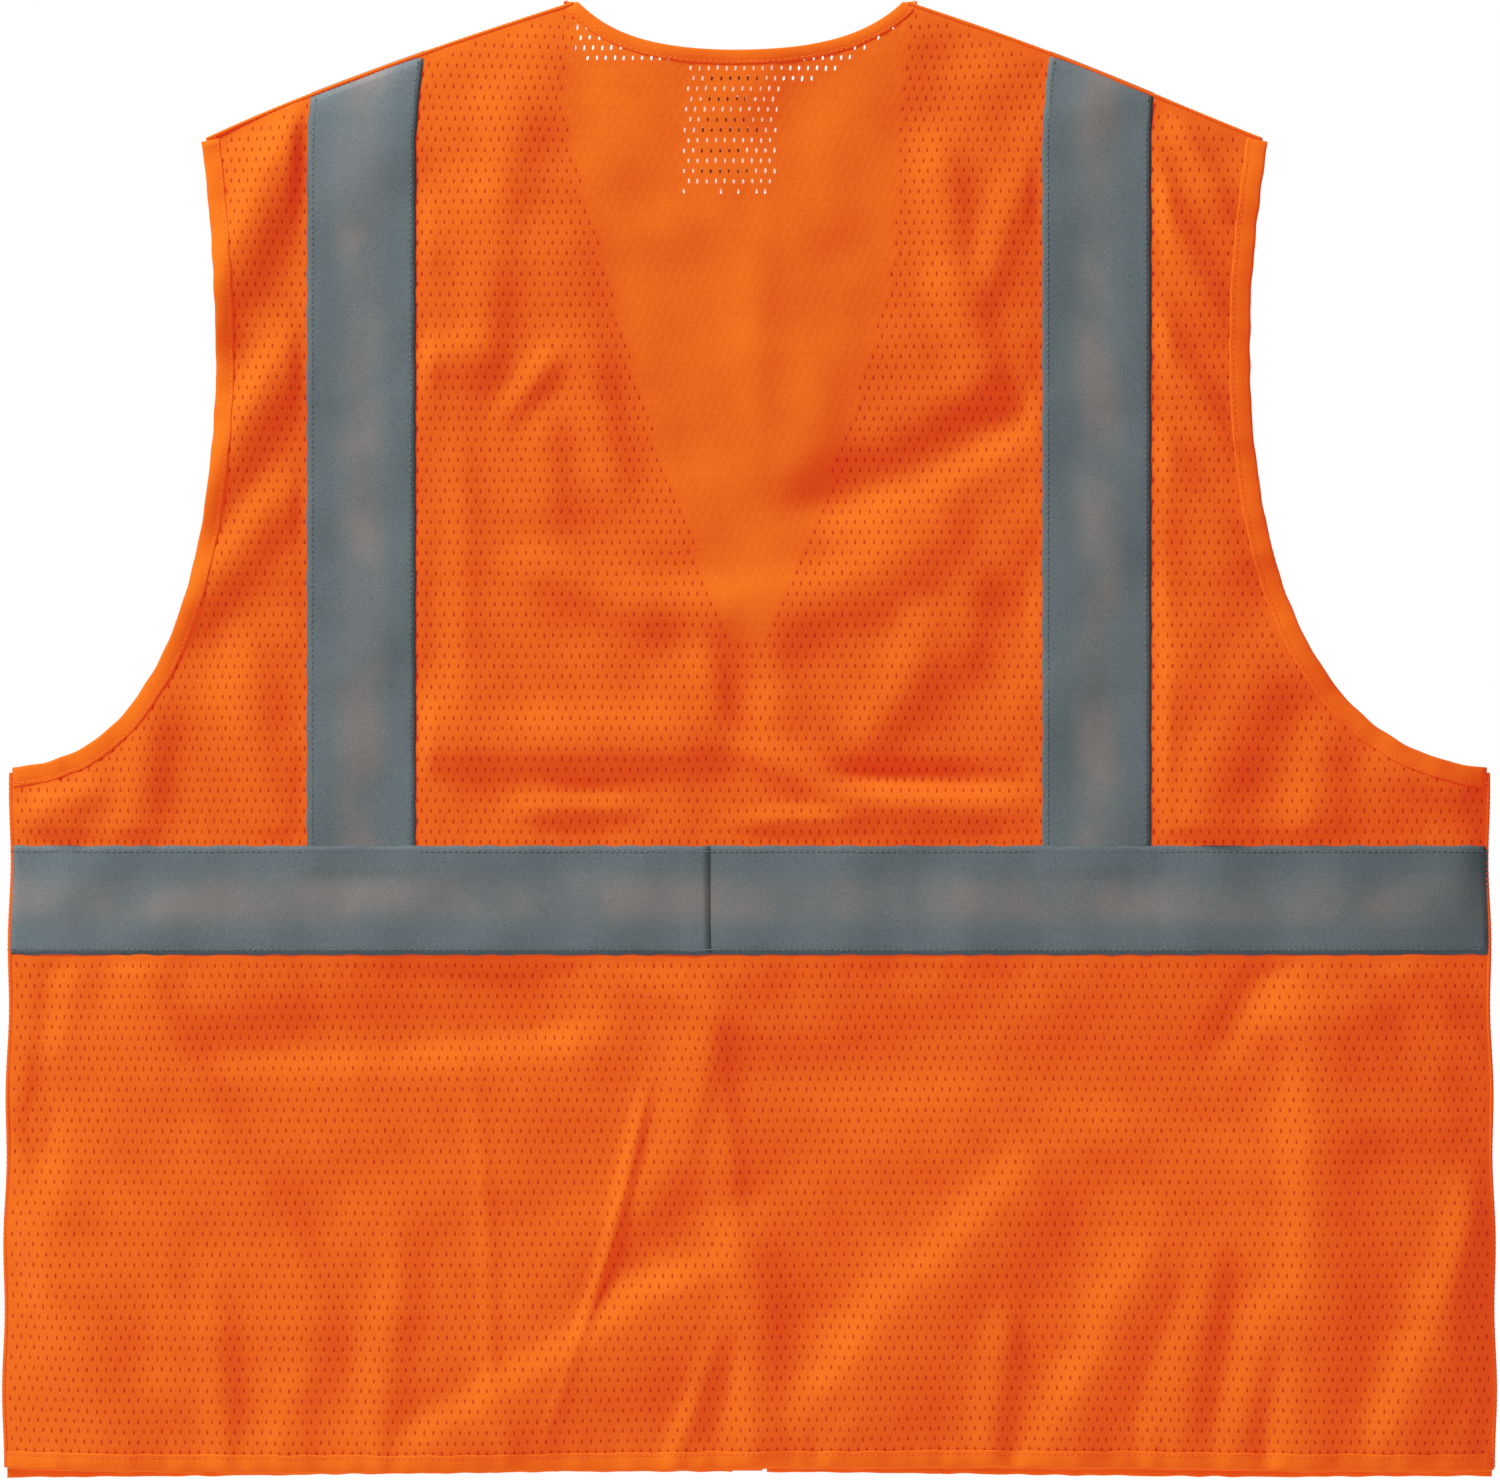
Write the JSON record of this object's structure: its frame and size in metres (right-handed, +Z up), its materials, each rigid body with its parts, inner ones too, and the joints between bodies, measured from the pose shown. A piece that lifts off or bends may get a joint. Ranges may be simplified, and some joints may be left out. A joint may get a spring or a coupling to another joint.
{
  "type": "high visibility vest",
  "caption": "Sleeveless orange mesh safety vest with V neck, reflective shoulder and waist bands, bound edges, patch pockets and a front zip.",
  "frame": {"origin": "midway between the neck points of the shoulders, at their height, where the vest rests on the wearer's shoulders or a hanger", "axes": "+Z up, +X across towards the wearer's right arm, +Y out of the fronts and -Y out of the back"},
  "size_m": [0.6936, 0.0218, 0.6866],
  "materials": {
    "mesh_cloth": "fluorescent orange warp-knit polyester mesh, matte with a slight sheen",
    "binding_cloth": "fluorescent orange woven polyester binding, sewn",
    "reflective_tape": "silver-grey glass-bead retroreflective tape on cloth",
    "label_satin": "white satin with plain grey rules",
    "zip_tape_cloth": "orange woven polyester zip tape",
    "zip_coil_plastic": "orange nylon coil",
    "zip_metal": "nickel-plated zinc, slightly worn"
  },
  "bodies": {
    "vest": {"back_panel": "mesh_cloth", "front_panel_left": "mesh_cloth", "front_panel_right": "mesh_cloth", "side_seam_left": "mesh_cloth", "side_seam_right": "mesh_cloth", "shoulder_seam_left": "mesh_cloth", "shoulder_seam_right": "mesh_cloth", "shoulder_band_left": "reflective_tape", "shoulder_band_right": "reflective_tape", "waist_band_left": "reflective_tape", "waist_band_right": "reflective_tape", "neck_binding": "binding_cloth", "armhole_binding_left": "binding_cloth", "armhole_binding_right": "binding_cloth", "hem_binding_back": "binding_cloth", "hem_binding_front_left": "binding_cloth", "hem_binding_front_right": "binding_cloth", "care_label": "label_satin", "lower_pocket_left": "mesh_cloth", "lower_pocket_right": "mesh_cloth", "lower_pocket_binding_left": "binding_cloth", "lower_pocket_binding_right": "binding_cloth", "pen_pocket": "mesh_cloth", "pen_pocket_binding": "binding_cloth"},
    "left_flap": {"front_flap_left": "mesh_cloth", "waist_band_flap_left": "reflective_tape", "v_neck_binding_left": "binding_cloth", "hem_binding_flap_left": "binding_cloth", "zip_tape_left": "zip_tape_cloth", "zip_coil_left": "zip_coil_plastic", "zip_top_stop_left": "zip_metal", "zip_retainer_box": "zip_metal"},
    "right_flap": {"front_flap_right": "mesh_cloth", "waist_band_flap_right": "reflective_tape", "v_neck_binding_right": "binding_cloth", "hem_binding_flap_right": "binding_cloth", "zip_tape_right": "zip_tape_cloth", "zip_coil_right": "zip_coil_plastic", "zip_top_stop_right": "zip_metal", "zip_insertion_pin": "zip_metal"},
    "slider": {"zip_slider": "zip_metal"},
    "pull": {"zip_pull": "zip_metal"}
  },
  "joints": [
    {"name": "left_front_fold", "type": "hinge", "parent": "vest", "child": "left_flap", "pos_m": [-0.077, 0.0082, -0.38], "axis": [0, 0, 1], "range_deg": [0, 150]},
    {"name": "right_front_fold", "type": "hinge", "parent": "vest", "child": "right_flap", "pos_m": [0.077, 0.0082, -0.38], "axis": [0, 0, -1], "range_deg": [0, 150]},
    {"name": "zip_slide", "type": "slide", "parent": "left_flap", "child": "slider", "axis": [0, 0, 1], "range_m": [0, 0.356]},
    {"name": "zip_pull_swing", "type": "hinge", "parent": "slider", "child": "pull", "pos_m": [0, 0.0104, -0.6601], "axis": [1, 0, 0], "range_deg": [0, 165]}
  ]
}
